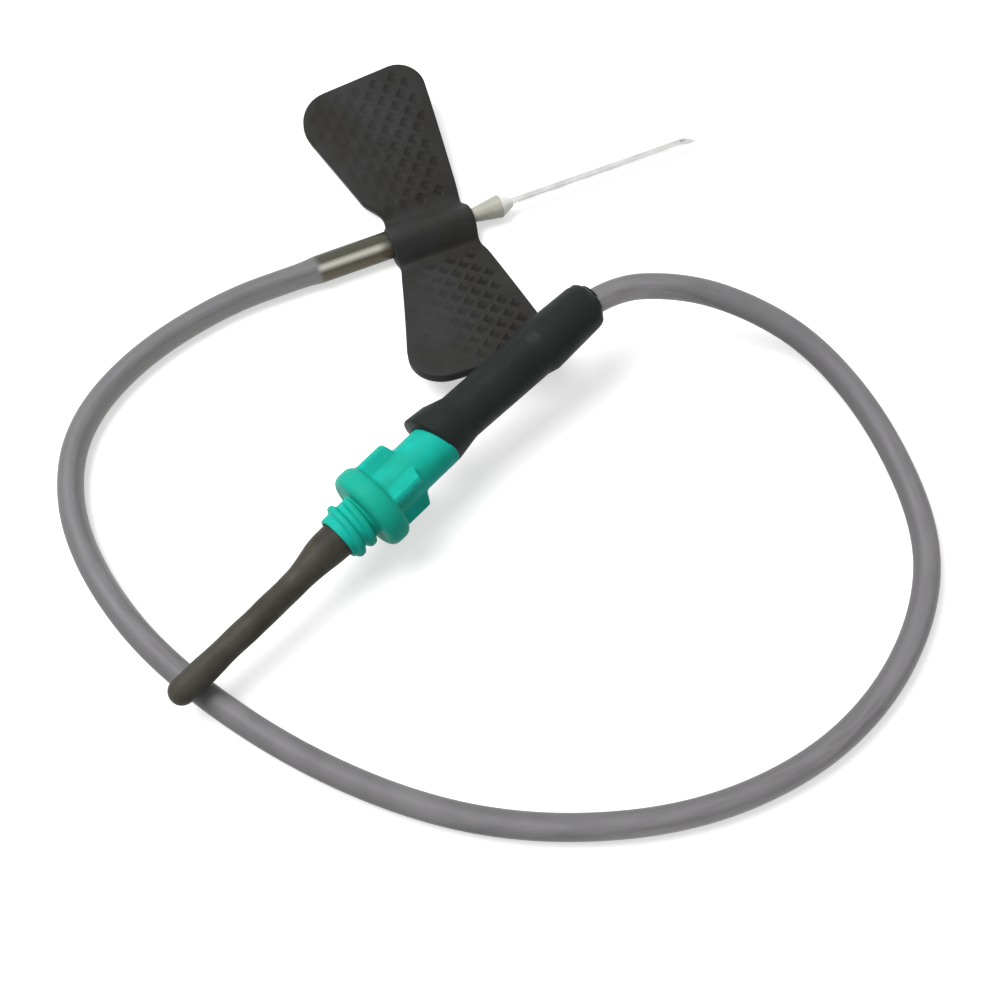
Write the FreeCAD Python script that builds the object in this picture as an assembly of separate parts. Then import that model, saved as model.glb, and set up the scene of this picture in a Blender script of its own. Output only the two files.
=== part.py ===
import FreeCAD, Part
import math
import os
from FreeCAD import Placement, Rotation, Vector

# A winged blood collection needle: steel needle in a plastic hub, soft wings, clear tube,
# soft connector, holder adapter and the rubber sleeve over its rear needle.
# Lengths are in millimetres and angles in degrees. The origin is on the underside of the
# wings' root, below the front needle. +X runs along the needle to its point and +Z is up.

os.makedirs("parts", exist_ok=True)

# Front needle
needle_height = 1.3
front_needle_od = 0.72
front_needle_bore = 0.41
front_needle_reach = 26.5
front_needle_seat_x = -1.0
point_angle = 17.0

# Needle hub, along X
hub_tail_x = -10.5
hub_tail_od = 1.4
hub_tail_chamfer = 0.12
hub_grip_od = 1.6
hub_neck_od = 1.24
hub_flare_od = 1.96
hub_flare_length = 2.4
hub_cone_length = 1.4
hub_cone_wall = 0.06
hub_flow_bore = 0.6

# Wing moulding
barrel_back_x = -3.8
barrel_front_x = 4.1
barrel_back_od = 2.6
barrel_front_od = 2.1
barrel_edge_round = 0.2
saddle_half_width = 1.0
saddle_height = 1.5
root_back_x = -3.45
root_front_x = 3.9
root_thickness = 0.6
hinge_offset = 2.1
web_thickness = 0.5
web_length = 1.1
wing_thickness = 0.85
wing_rise = 13.0
wing_length = 15.0
wing_tip_back_x = -8.0
wing_tip_front_x = 5.4
wing_tip_slant = 1.1
wing_back_bow_x = -4.9
wing_front_bow_x = 4.4
wing_bow_at = 4.4
wing_back_corner = 3.1
wing_front_corner = 2.5
wing_edge_round = 0.2
hinge_gap = 0.08

# Clear tube: outside and bore, how deep it is glued into the connector, and how far past
# the connector's end its bend begins
tube_od = 2.2
tube_bore = 1.4
tube_socket_depth = 4.2
tube_exit_lead = 1.2

# Axis of the connector and the adapter, through the middle of the connector's mouth
mouth_x = -8.1
mouth_y = -22.2
mouth_height = 5.6
axis_heading = 22.9
axis_pitch = 4.4

# Connector, measured from its mouth towards the tube
connector_length = 18.4
collar_od = 5.2
collar_end_od = 4.9
collar_length = 1.7
collar_fade = 1.3
sleeve_end_od = 4.1
sleeve_step_od = 4.25
step_at = 11.8
step_length = 1.0
grip_od = 4.7
grip_end_od = 4.1
dome_round = 1.45
mouth_round = 0.15
tube_exit_flare_od = 2.7
tube_exit_flare_length = 1.4
connector_flow_bore = 1.3
nose_clearance = 0.05

# Adapter, measured from the connector's mouth
adapter_body_od = 4.25
adapter_seat_depth = 0.7
nose_root_od = 3.5
nose_tip_od = 3.1
nose_reach = 7.0
nose_tip_round = 0.15
mouth_to_ribs = 2.7
rib_length = 3.5
rib_reach = 3.1
rib_thickness = 0.95
rib_count = 4
rib_turn = 40.0
flange_od = 7.2
flange_thickness = 2.1
flange_round = 0.7
thread_length = 2.8
thread_core_od = 3.9
thread_od = 4.4
thread_pitch = 1.2
thread_turns = 1.6
thread_crest = 0.45
thread_foot = 0.95
thread_sink = 0.06
cup_depth = 0.9
cup_od = 3.24
nipple_od = 1.6
nipple_reach = 1.2
adapter_flow_bore = 0.6
rear_needle_seat = 3.0

# Rear needle and its rubber sleeve, measured from the adapter's end face
rear_needle_od = 0.8
rear_needle_bore = 0.5
rear_needle_reach = 16.2
rubber_reach = 18.0
rubber_base_od = 3.2
rubber_base_length = 0.9
rubber_base_end_od = 3.08
rubber_neck_at = 4.6
rubber_neck_od = 2.2
rubber_waist_at = 12.5
rubber_waist_od = 2.16
rubber_head_at = 16.6
rubber_head_od = 2.3
rubber_tip_round = 1.05
rubber_bore = 1.2
rubber_bore_taper = 1.6
rubber_tip_wall = 1.3

# Route of the tube from the barrel to the connector, chosen to follow the photographed loop.
# Before these points comes the barrel's end. After them come the bend at the connector's end
# and the bottom of its socket.
route_middle = [
    (-12.0, 0.0, 1.3),
    (-19.3, 0.1, 1.1),
    (-28.1, -2.2, 1.1),
    (-34.7, -6.7, 1.1),
    (-37.5, -13.2, 1.1),
    (-37.3, -20.8, 1.1),
    (-34.6, -29.5, 1.1),
    (-28.1, -40.0, 1.1),
    (-19.9, -48.6, 1.1),
    (-11.3, -53.9, 1.1),
    (-1.0, -57.1, 1.1),
    (8.9, -57.0, 1.1),
    (17.0, -54.1, 1.1),
    (23.5, -48.8, 1.1),
    (27.0, -42.4, 1.1),
    (27.9, -32.6, 1.1),
    (26.1, -24.6, 2.0),
    (22.2, -20.0, 4.1),
    (16.7, -16.7, 6.5),
]
arc_share = 0.45

# Two places nearer than this are the same place
same_place = 0.001


def turned(outline):
    """Solid of revolution about the X axis from (x, diameter) corners."""
    corners = [Vector(x, 0, diameter / 2) for x, diameter in outline]
    corners.append(corners[0])
    face = Part.Face(Part.makePolygon(corners))
    return face.revolve(Vector(), Vector(1, 0, 0), 360)


def rod(diameter, start, end):
    """Plain cylinder on the X axis between two places."""
    return Part.makeCylinder(diameter / 2, end - start, Vector(start, 0, 0), Vector(1, 0, 0))


def rims(solid, x, diameter):
    """Circular edges of a turned solid at one place and diameter."""
    found = []
    for edge in solid.Edges:
        if not isinstance(edge.Curve, Part.Circle):
            continue
        at_x = abs(edge.Curve.Center.x - x) < same_place
        right_size = abs(edge.Curve.Radius - diameter / 2) < same_place
        if at_x and right_size:
            found.append(edge)
    return found


def slanted_needle(od, bore, start, reach, angle):
    """Hollow needle on the X axis whose point is ground away on its upper side."""
    slope = math.tan(math.radians(angle))
    front = reach + od / (2 * slope)
    back = front - 2 * od / slope
    tube = rod(od, start, front).cut(rod(bore, start, front))
    corners = [Vector(front, -od, -od), Vector(front, -od, od), Vector(back, -od, od)]
    corners.append(corners[0])
    ground_away = Part.Face(Part.makePolygon(corners)).extrude(Vector(0, 2 * od, 0))
    return tube.cut(ground_away)


def on_needle_axis(solid):
    """Lift a solid built on the X axis to the height of the front needle."""
    return solid.translated(Vector(0, 0, needle_height))


connector_turn = Rotation(Vector(0, 0, 1), axis_heading).multiply(Rotation(Vector(0, 1, 0), -axis_pitch))
connector_place = Placement(Vector(mouth_x, mouth_y, mouth_height), connector_turn)


def on_connector_axis(solid):
    """Move a solid built on the X axis, with the mouth at zero, onto the connector's axis."""
    moved = solid.copy()
    moved.Placement = connector_place.multiply(solid.Placement)
    return moved


def front_cannula():
    needle = slanted_needle(
        front_needle_od, front_needle_bore, front_needle_seat_x, front_needle_reach, point_angle
    )
    return on_needle_axis(needle)


def needle_hub():
    flare_x = barrel_front_x + hub_flare_length
    nose_x = flare_x + hub_cone_length
    nose_od = front_needle_od + 2 * hub_cone_wall
    outline = [
        (hub_tail_x, 0),
        (hub_tail_x, hub_tail_od - 2 * hub_tail_chamfer),
        (hub_tail_x + hub_tail_chamfer, hub_tail_od),
        (barrel_back_x, hub_tail_od),
        (barrel_back_x, hub_grip_od),
        (barrel_front_x, hub_grip_od),
        (barrel_front_x, hub_neck_od),
        (flare_x, hub_flare_od),
        (nose_x, nose_od),
        (nose_x, 0),
    ]
    hub = turned(outline)
    hub = hub.cut(rod(front_needle_od, front_needle_seat_x, nose_x))
    hub = hub.cut(rod(hub_flow_bore, hub_tail_x, front_needle_seat_x))
    return on_needle_axis(hub)


def stands_at(edge, corner):
    """Whether both ends of an edge are above or below one corner of an outline."""
    return all(math.hypot(v.X - corner.x, v.Y - corner.y) < same_place for v in edge.Vertexes)


def lies_at(edge, height):
    """Whether both ends of an edge are at one height."""
    return all(abs(v.Z - height) < same_place for v in edge.Vertexes)


def wing_plate():
    """Wing that lies along +Y from its hinge line at the origin, with its thin web."""
    underside = -web_thickness / 2
    back_tip = Vector(wing_tip_back_x, wing_length - wing_tip_slant, underside)
    front_tip = Vector(wing_tip_front_x, wing_length, underside)
    back_root = Vector(root_back_x, 0, underside)
    front_root = Vector(root_front_x, 0, underside)
    back_bow = Vector(wing_back_bow_x, wing_bow_at, underside)
    front_bow = Vector(wing_front_bow_x, wing_bow_at, underside)
    edges = [
        Part.LineSegment(back_root, front_root).toShape(),
        Part.Arc(front_root, front_bow, front_tip).toShape(),
        Part.LineSegment(front_tip, back_tip).toShape(),
        Part.Arc(back_tip, back_bow, back_root).toShape(),
    ]
    plate = Part.Face(Part.Wire(edges)).extrude(Vector(0, 0, wing_thickness))
    for tip, corner in ((back_tip, wing_back_corner), (front_tip, wing_front_corner)):
        upright = [edge for edge in plate.Edges if stands_at(edge, tip)]
        plate = plate.makeFillet(corner, upright)
    top = underside + wing_thickness
    top_edges = [edge for edge in plate.Edges if lies_at(edge, top) and edge.BoundBox.YMax > same_place]
    plate = plate.makeFillet(wing_edge_round, top_edges)
    above_web = Part.makeBox(
        wing_tip_front_x - wing_tip_back_x,
        web_length,
        wing_thickness,
        Vector(wing_tip_back_x, 0, web_thickness / 2),
    )
    plate = plate.cut(above_web)
    hinge_edge = rod(web_thickness, root_back_x, root_front_x)
    return plate.fuse(hinge_edge).removeSplitter()


hinge_line = Vector(0, hinge_offset, root_thickness / 2)


def far_wing():
    wing = wing_plate()
    wing.Placement = Placement(hinge_line, Rotation(Vector(1, 0, 0), wing_rise))
    return wing


def wing_body():
    near_wing = far_wing().mirror(Vector(), Vector(0, 1, 0))
    root_far_edge = hinge_offset - web_thickness / 2 - hinge_gap
    section = [
        Vector(root_back_x, -hinge_offset, 0),
        Vector(root_back_x, root_far_edge, 0),
        Vector(root_back_x, root_far_edge, root_thickness),
        Vector(root_back_x, saddle_half_width, saddle_height),
        Vector(root_back_x, -saddle_half_width, saddle_height),
        Vector(root_back_x, -hinge_offset, root_thickness),
    ]
    section.append(section[0])
    root = Part.Face(Part.makePolygon(section)).extrude(Vector(root_front_x - root_back_x, 0, 0))
    barrel = turned(
        [
            (barrel_back_x, 0),
            (barrel_back_x, barrel_back_od),
            (barrel_front_x, barrel_front_od),
            (barrel_front_x, 0),
        ]
    )
    ends = rims(barrel, barrel_back_x, barrel_back_od) + rims(barrel, barrel_front_x, barrel_front_od)
    barrel = on_needle_axis(barrel.makeFillet(barrel_edge_round, ends))
    hub_seat = on_needle_axis(rod(hub_grip_od, barrel_back_x, barrel_front_x))
    return barrel.fuse([root, near_wing]).cut(hub_seat).removeSplitter()


def socket_connector():
    far = connector_length
    outline = [
        (0, 0),
        (0, collar_od),
        (collar_length, collar_end_od),
        (collar_length + collar_fade, sleeve_end_od),
        (step_at, sleeve_step_od),
        (step_at + step_length, grip_od),
        (far, grip_end_od),
        (far, 0),
    ]
    body = turned(outline)
    body = body.makeFillet(dome_round, rims(body, far, grip_end_od))
    body = body.makeFillet(mouth_round, rims(body, 0, collar_od))
    seat = adapter_seat_depth + nose_clearance
    seat_od = adapter_body_od + 2 * nose_clearance
    root_od = nose_root_od + 2 * nose_clearance
    tip_od = nose_tip_od + 2 * nose_clearance
    socket_floor = far - tube_socket_depth
    body = body.cut(rod(seat_od, 0, seat))
    body = body.cut(turned([(seat, 0), (seat, root_od), (nose_reach + nose_clearance, tip_od),
                            (nose_reach + nose_clearance, 0)]))
    body = body.cut(rod(connector_flow_bore, nose_reach, socket_floor))
    body = body.cut(rod(tube_od, socket_floor, far))
    flare_start = far - tube_exit_flare_length
    flare = turned([(flare_start, 0), (flare_start, tube_od), (far, tube_exit_flare_od), (far, 0)])
    return on_connector_axis(body.cut(flare))


def thread_ridge(core_od, start):
    """Coarse thread that winds along the X axis from a place towards -X."""
    helix = Part.makeHelix(thread_pitch, thread_pitch * thread_turns, core_od / 2)
    inner = core_od / 2 - thread_sink
    outer = thread_od / 2
    profile = [
        Vector(inner, 0, -thread_foot / 2),
        Vector(outer, 0, -thread_crest / 2),
        Vector(outer, 0, thread_crest / 2),
        Vector(inner, 0, thread_foot / 2),
    ]
    profile.append(profile[0])
    ridge = Part.Wire(helix).makePipeShell([Part.makePolygon(profile)], True, True)
    ridge.Placement = Placement(Vector(start, 0, 0), Rotation(Vector(0, 1, 0), -90))
    return ridge


ribs_end = -mouth_to_ribs - rib_length
thread_start = ribs_end - flange_thickness
adapter_end = thread_start - thread_length


def holder_adapter():
    cup_floor = adapter_end + cup_depth
    nipple_end = adapter_end - nipple_reach
    body = rod(adapter_body_od, ribs_end, adapter_seat_depth)
    nose = turned([(adapter_seat_depth, 0), (adapter_seat_depth, nose_root_od),
                   (nose_reach, nose_tip_od), (nose_reach, 0)])
    nose = nose.makeFillet(nose_tip_round, rims(nose, nose_reach, nose_tip_od))
    flange = rod(flange_od, thread_start, ribs_end)
    flange = flange.makeFillet(
        flange_round, rims(flange, thread_start, flange_od) + rims(flange, ribs_end, flange_od)
    )
    core = rod(thread_core_od, adapter_end, thread_start)
    cup = rod(cup_od, adapter_end, cup_floor)
    nipple = rod(nipple_od, nipple_end, cup_floor)
    ridge_start = adapter_end + (thread_length + thread_pitch * thread_turns) / 2
    ridge = thread_ridge(thread_core_od, ridge_start)
    ribs = []
    for number in range(rib_count):
        rib = Part.makeBox(
            rib_length,
            rib_thickness,
            rib_reach,
            Vector(ribs_end, -rib_thickness / 2, 0),
        )
        rib.rotate(Vector(), Vector(1, 0, 0), rib_turn + number * 360 / rib_count)
        ribs.append(rib)
    adapter = body.fuse([nose, flange, core, ridge] + ribs)
    adapter = adapter.cut(cup).fuse(nipple)
    adapter = adapter.cut(rod(rear_needle_od, nipple_end, rear_needle_seat))
    adapter = adapter.cut(rod(adapter_flow_bore, rear_needle_seat, nose_reach))
    return on_connector_axis(adapter)


def rear_cannula():
    reach = rear_needle_reach - adapter_end
    needle = slanted_needle(rear_needle_od, rear_needle_bore, -rear_needle_seat, reach, point_angle)
    needle.rotate(Vector(), Vector(0, 0, 1), 180)
    return on_connector_axis(needle)


def rubber_sleeve():
    seat = adapter_end + cup_depth
    nipple_end = adapter_end - nipple_reach
    bore_end = adapter_end - rubber_reach + rubber_tip_wall
    tip = adapter_end - rubber_reach
    outside = turned(
        [
            (seat, 0),
            (seat, rubber_base_od),
            (adapter_end - rubber_base_length, rubber_base_end_od),
            (adapter_end - rubber_neck_at, rubber_neck_od),
            (adapter_end - rubber_waist_at, rubber_waist_od),
            (adapter_end - rubber_head_at, rubber_head_od),
            (tip, rubber_head_od),
            (tip, 0),
        ]
    )
    outside = outside.makeFillet(rubber_tip_round, rims(outside, tip, rubber_head_od))
    inside = turned(
        [
            (seat, 0),
            (seat, nipple_od),
            (nipple_end, nipple_od),
            (nipple_end - rubber_bore_taper, rubber_bore),
            (bore_end, rubber_bore),
            (bore_end, 0),
        ]
    )
    return on_connector_axis(outside.cut(inside))


def route():
    """Points of the tube's route, from the barrel's end to the bottom of the socket."""
    start = Vector(barrel_back_x, 0, needle_height)
    bend = connector_place.multVec(Vector(connector_length + tube_exit_lead, 0, 0))
    end = connector_place.multVec(Vector(connector_length - tube_socket_depth, 0, 0))
    return [start] + [Vector(*point) for point in route_middle] + [bend, end]


def tube_path(points):
    """Straight runs joined by tangent arcs, each as large as its two runs allow."""
    pieces = []
    radii = []
    last = points[0]
    for before, corner, after in zip(points, points[1:], points[2:]):
        to_before = before - corner
        to_after = after - corner
        reach = arc_share * min(to_before.Length, to_after.Length)
        half_turn = (math.pi - to_before.getAngle(to_after)) / 2
        radius = reach / math.tan(half_turn)
        arc_start = corner + to_before.normalize() * reach
        arc_end = corner + to_after.normalize() * reach
        bisector = (arc_start + arc_end) * 0.5 - corner
        inset = radius / math.cos(half_turn) - radius
        arc_middle = corner + bisector.normalize() * inset
        pieces.append(Part.LineSegment(last, arc_start).toShape())
        pieces.append(Part.Arc(arc_start, arc_middle, arc_end).toShape())
        radii.append(radius)
        last = arc_end
    pieces.append(Part.LineSegment(last, points[-1]).toShape())
    return Part.Wire(pieces), radii


def swept_rod(path, diameter, start, direction):
    """Round rod along a path of tangent lines and arcs."""
    ring = Part.Wire(Part.makeCircle(diameter / 2, start, direction))
    return path.makePipeShell([ring], True, False)


def tubing():
    points = route()
    path, radii = tube_path(points)
    start = points[0]
    direction = points[1] - points[0]
    tube = swept_rod(path, tube_od, start, direction).cut(swept_rod(path, tube_bore, start, direction))
    section = math.pi * (tube_od**2 - tube_bore**2) / 4
    runs = [round((after - before).Length, 1) for before, after in zip(points, points[1:])]
    print("tube length", round(path.Length, 2), "runs", runs)
    print("tube radii", [round(radius, 1) for radius in radii])
    print("tube volume", round(tube.Volume, 3), "section times length", round(section * path.Length, 3))
    return tube


for make in (
    front_cannula,
    needle_hub,
    wing_body,
    far_wing,
    tubing,
    socket_connector,
    holder_adapter,
    rear_cannula,
    rubber_sleeve,
):
    solid = make()
    print(make.__name__, solid.ShapeType, len(solid.Solids), solid.isValid(), round(solid.Volume, 3))
    solid.exportStep("parts/" + make.__name__ + ".step")
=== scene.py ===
import math
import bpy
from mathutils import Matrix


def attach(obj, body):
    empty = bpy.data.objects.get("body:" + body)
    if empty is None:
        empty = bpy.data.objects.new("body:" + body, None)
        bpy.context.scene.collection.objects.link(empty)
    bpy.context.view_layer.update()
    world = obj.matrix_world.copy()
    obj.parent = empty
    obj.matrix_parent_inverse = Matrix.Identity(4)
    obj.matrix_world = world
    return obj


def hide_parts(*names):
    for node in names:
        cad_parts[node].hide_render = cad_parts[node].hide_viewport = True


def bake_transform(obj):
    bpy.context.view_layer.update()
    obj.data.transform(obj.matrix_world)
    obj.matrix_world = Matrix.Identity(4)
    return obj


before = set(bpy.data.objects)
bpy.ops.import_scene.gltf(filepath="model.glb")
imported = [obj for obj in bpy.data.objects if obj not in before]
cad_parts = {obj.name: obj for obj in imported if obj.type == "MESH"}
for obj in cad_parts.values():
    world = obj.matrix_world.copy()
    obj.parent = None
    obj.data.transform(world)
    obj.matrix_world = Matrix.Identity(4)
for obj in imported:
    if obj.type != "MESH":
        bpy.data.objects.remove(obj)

from types import SimpleNamespace

import bmesh
import bpy
import numpy as np
from bpy.props import FloatProperty, FloatVectorProperty, IntProperty, PointerProperty
from mathutils import Matrix, Vector, geometry, noise

bl_info = {
    "name": "Butterfly needle",
    "version": (1, 0, 0),
    "blender": (4, 5, 0),
    "location": "3D View > Sidebar > Butterfly needle",
    "description": "Makes the winged needle set: wings, hub, needle, tube, connector, adapter and sleeve",
    "category": "Add Mesh",
}

# Meshes are worked out in millimetres and scaled to metres when a piece is finished.
MM = 0.001

# The dimples' depth and their painted shade fade from the front of the wings to the back between
# these two places along the needle, in millimetres.
CLEAR_FROM = 1.8
FAINT_FROM = -3.2

# Points that the tube's smooth line is drawn to, in metres, from the barrel's end to the bend
# before the connector. They follow the photographed loop.
ROUTE = [
    (-0.0038, 0.0000, 0.0013),
    (-0.0120, 0.0000, 0.0013),
    (-0.0193, 0.0001, 0.0011),
    (-0.0281, -0.0022, 0.0011),
    (-0.0347, -0.0067, 0.0011),
    (-0.0375, -0.0132, 0.0011),
    (-0.0373, -0.0208, 0.0011),
    (-0.0346, -0.0295, 0.0011),
    (-0.0281, -0.0400, 0.0011),
    (-0.0199, -0.0486, 0.0011),
    (-0.0113, -0.0539, 0.0011),
    (-0.0010, -0.0571, 0.0011),
    (0.0089, -0.0570, 0.0011),
    (0.0170, -0.0541, 0.0011),
    (0.0235, -0.0488, 0.0011),
    (0.0270, -0.0424, 0.0011),
    (0.0279, -0.0326, 0.0011),
    (0.0261, -0.0246, 0.0020),
    (0.0222, -0.0200, 0.0041),
    (0.0167, -0.0167, 0.0065),
]


def length(name, description, millimetres):
    """Length property with its default given in millimetres."""
    return FloatProperty(
        name=name, description=description, default=millimetres * MM, unit="LENGTH", precision=5
    )


def angle(name, description, degrees):
    """Angle property with its default given in degrees."""
    return FloatProperty(name=name, description=description, default=math.radians(degrees), unit="ROTATION")


def colour(name, description, red, green, blue):
    """Colour property with its default given as the 0 to 255 values that a screen shows."""
    linear = [((c / 255 + 0.055) / 1.055) ** 2.4 if c > 10 else c / 255 / 12.92 for c in (red, green, blue)]
    return FloatVectorProperty(
        name=name, description=description, default=linear, subtype="COLOR", size=3, min=0.0, max=1.0
    )


def in_mm(group):
    """The lengths of a property group in millimetres, its angles in radians and its counts."""
    values = SimpleNamespace()
    for item in group.bl_rna.properties:
        if item.type == "FLOAT" and not item.is_array:
            scale = MM if item.unit == "LENGTH" else 1
            setattr(values, item.identifier, getattr(group, item.identifier) / scale)
        if item.type == "INT":
            setattr(values, item.identifier, getattr(group, item.identifier))
    return values


class NeedleSizes(bpy.types.PropertyGroup):
    height: length("Axis height", "Height of the front needle's axis above the surface", 1.3)
    width: length("Needle width", "Outside of the steel tube", 0.72)
    bore: length("Needle bore", "Inside of the steel tube", 0.41)
    seat: length("Seat", "Where the needle ends inside the hub", -1.0)
    reach: length("Point", "Distance of the point from the origin", 26.5)
    point: angle("Point angle", "Angle of the ground face to the axis", 17.0)
    tail: length("Hub tail", "Where the hub's tail ends inside the tube", -10.5)
    tail_width: length("Tail width", "Outside of the hub's tail", 1.4)
    grip_width: length("Grip width", "Outside of the hub inside the barrel", 1.6)
    neck_width: length("Neck width", "Outside of the hub where it leaves the barrel", 1.24)
    flare_width: length("Flare width", "Widest place of the hub's nose", 2.12)
    flare_length: length("Flare length", "From the barrel to the widest place of the nose", 2.65)
    cone_length: length("Cone length", "From the widest place to the end of the nose", 1.2)
    cone_wall: length("Cone wall", "Wall round the needle at the end of the nose", 0.06)


class WingSizes(bpy.types.PropertyGroup):
    barrel_back: length("Barrel back", "Back end of the barrel", -3.8)
    barrel_front: length("Barrel front", "Front end of the barrel", 4.1)
    back_width: length("Barrel back width", "Outside of the barrel at its back end", 2.6)
    front_width: length("Barrel front width", "Outside of the barrel at its front end", 2.1)
    root_back: length("Root back", "Back edge of the wings' root", -3.6)
    root_front: length("Root front", "Front edge of the wings' root", 3.9)
    root_thickness: length("Root thickness", "Thickness beside the barrel", 0.6)
    hinge: length("Hinge offset", "Distance of each wing's hinge line from the needle", 2.1)
    web: length("Web thickness", "Thickness of the thin web that the wing bends at", 0.5)
    web_length: length("Web length", "Length of the thin web along the wing", 1.1)
    thickness: length("Wing thickness", "Thickness of the wing", 0.85)
    rise: angle("Rise", "Angle that each wing stands up at", 13.0)
    span: length("Wing length", "From the hinge line to the tip", 15.0)
    tip_back: length("Tip back", "Back corner of the tip", -8.0)
    tip_front: length("Tip front", "Front corner of the tip", 5.4)
    tip_slant: length("Tip slant", "How much further in the back corner is", 1.1)
    back_bow: length("Back bow", "Middle point of the back edge's curve", -4.9)
    front_bow: length("Front bow", "Middle point of the front edge's curve", 4.4)
    bow_at: length("Bow distance", "Distance of those points from the hinge line", 4.4)
    back_corner: length("Back corner", "Rounding of the tip's back corner", 3.1)
    front_corner: length("Front corner", "Rounding of the tip's front corner", 2.5)
    flank: length("Flank", "How far past the hinge line the barrel's soft flank runs", 0.7)
    flank_slope: angle("Flank slope", "Slope of the barrel's side where its flank begins", 32.0)
    bend: length("Bend length", "How much of the skin bends at each hinge line", 0.7)
    tuck: length("Tuck", "How far the far wing's back edge is drawn in beside its root", 0.65)
    tuck_at: length("Tuck place", "Distance of that place from the hinge line", 1.2)
    tuck_length: length("Tuck length", "How far the tuck reaches to either side", 1.9)
    edge: length("Edge rounding", "Rounding of the moulding's upper edge", 0.2)
    pitch: length("Lattice pitch", "Distance between dimples along a row", 1.27)
    dimple: length("Dimple width", "Width of a dimple", 0.94)
    depth: length("Dimple depth", "Depth of the deepest dimples", 0.13)
    lip: FloatProperty(name="Lip", description="Share of a dimple's width inside its lip", default=0.95)
    floor: FloatProperty(name="Floor", description="Share of that width on its floor", default=0.84)
    turn: angle("Lattice turn", "Angle of the rows to the needle", 49.0)
    border: length("Plain border", "Width of the plain border round the dimples", 0.45)


class TubeSizes(bpy.types.PropertyGroup):
    width: length("Tube width", "Outside of the clear tube", 2.2)
    bore: length("Tube bore", "Inside of the clear tube", 1.4)
    stretched: length("Stretched width", "Outside where it is pushed over the hub's tail", 2.5)
    tail_gap: length("Tail gap", "Clearance of the tube's bore round the hub's tail", 0.04)
    socket: length("Socket depth", "How deep the tube sits in the connector", 4.2)
    lead: length("Exit lead", "How far past the connector the tube's bend begins", 1.2)


class ConnectorSizes(bpy.types.PropertyGroup):
    mouth_x: length("Mouth x", "Middle of the connector's mouth along the needle", -8.1)
    mouth_y: length("Mouth y", "Middle of the connector's mouth across the needle", -22.2)
    mouth_height: length("Mouth height", "Height of the mouth's middle", 5.6)
    heading: angle("Heading", "Turn of the connector's axis from the needle", 22.9)
    pitch: angle("Slope", "Rise of the connector's axis", 4.4)
    reach: length("Length", "Length of the connector", 18.4)
    collar_width: length("Collar width", "Outside of the collar at the mouth", 5.2)
    collar_end_width: length("Collar end width", "Outside at the end of the collar", 4.9)
    collar_length: length("Collar length", "Length of the collar", 1.7)
    collar_fade: length("Collar fade", "Length of the slope behind the collar", 1.3)
    body_width: length("Body width", "Outside behind the collar", 4.1)
    step_width: length("Step width", "Outside just before the step", 4.25)
    step_at: length("Step place", "Distance of the step from the mouth", 11.1)
    step_length: length("Step length", "Length of the step", 1.0)
    grip_width: length("Grip width", "Outside just past the step", 4.7)
    end_width: length("End width", "Outside at the tube's end", 4.1)
    dome: length("End rounding", "Rounding of the tube's end", 1.45)
    exit_width: length("Exit width", "Width of the mouth that the tube leaves by", 2.26)
    exit_length: length("Exit length", "Depth of that mouth", 0.25)
    skew: length("Lip skew", "How far one side of the soft lip is pulled over the adapter", 0.6)
    clearance: length("Nose clearance", "Clearance round the adapter's nose", 0.05)


class AdapterSizes(bpy.types.PropertyGroup):
    body_width: length("Body width", "Outside of the plain cylinder", 4.25)
    seat: length("Seat depth", "How deep the cylinder sits in the connector", 0.7)
    nose_root: length("Nose root", "Outside of the nose at its root", 3.5)
    nose_tip: length("Nose tip", "Outside of the nose at its tip", 3.1)
    nose_reach: length("Nose reach", "How far the nose goes into the connector", 7.0)
    flow_bore: length("Flow bore", "Bore through the nose", 0.6)
    to_ribs: length("To the ribs", "From the mouth to the ribs", 2.45)
    rib_length: length("Rib length", "Length of each rib", 3.75)
    rib_reach: length("Rib reach", "Distance of a rib's edge from the axis", 3.25)
    rib_thickness: length("Rib thickness", "Thickness of each rib", 0.95)
    rib_slant: length("Rib slant", "How much shorter a rib is at its outer edge", 1.0)
    rib_count: IntProperty(name="Ribs", description="Number of ribs", default=4, min=1)
    rib_turn: angle("Rib turn", "Turn of the first rib", 40.0)
    flange_width: length("Flange width", "Outside of the flange", 7.2)
    flange_thickness: length("Flange thickness", "Thickness of the flange", 2.1)
    flange_round: length("Flange rounding", "Rounding of the flange's edge", 0.7)
    thread_length: length("Thread length", "Length of the threaded end", 2.8)
    core_width: length("Core width", "Outside between the thread's turns", 3.9)
    thread_width: length("Thread width", "Outside of the thread", 4.7)
    thread_pitch: length("Thread pitch", "Advance of the thread in one turn", 1.2)
    thread_turns: FloatProperty(name="Thread turns", description="Number of turns", default=1.6)
    crest: length("Thread crest", "Width of the thread's top", 0.42)
    foot: length("Thread foot", "Width of the thread's foot", 0.9)
    cup_depth: length("Cup depth", "Depth of the cup that the sleeve sits in", 0.9)
    cup_width: length("Cup width", "Width of that cup", 3.24)


class SleeveSizes(bpy.types.PropertyGroup):
    reach: length("Length", "From the adapter's end to the tip", 18.0)
    base_width: length("Base width", "Outside in the adapter's cup", 3.2)
    base_end_width: length("Base end width", "Outside just past the cup", 3.08)
    base_length: length("Base length", "Length of the wide base", 0.9)
    neck_at: length("Neck place", "Distance of the neck from the adapter", 4.6)
    neck_width: length("Neck width", "Outside at the neck", 2.2)
    waist_at: length("Waist place", "Distance of the waist from the adapter", 12.5)
    waist_width: length("Waist width", "Outside at the waist", 2.16)
    head_at: length("Head place", "Distance of the head from the adapter", 16.6)
    head_width: length("Head width", "Outside at the head", 2.3)
    lean: length("Lean", "How far the soft sleeve lies to one side of the rear needle", 0.25)


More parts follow.
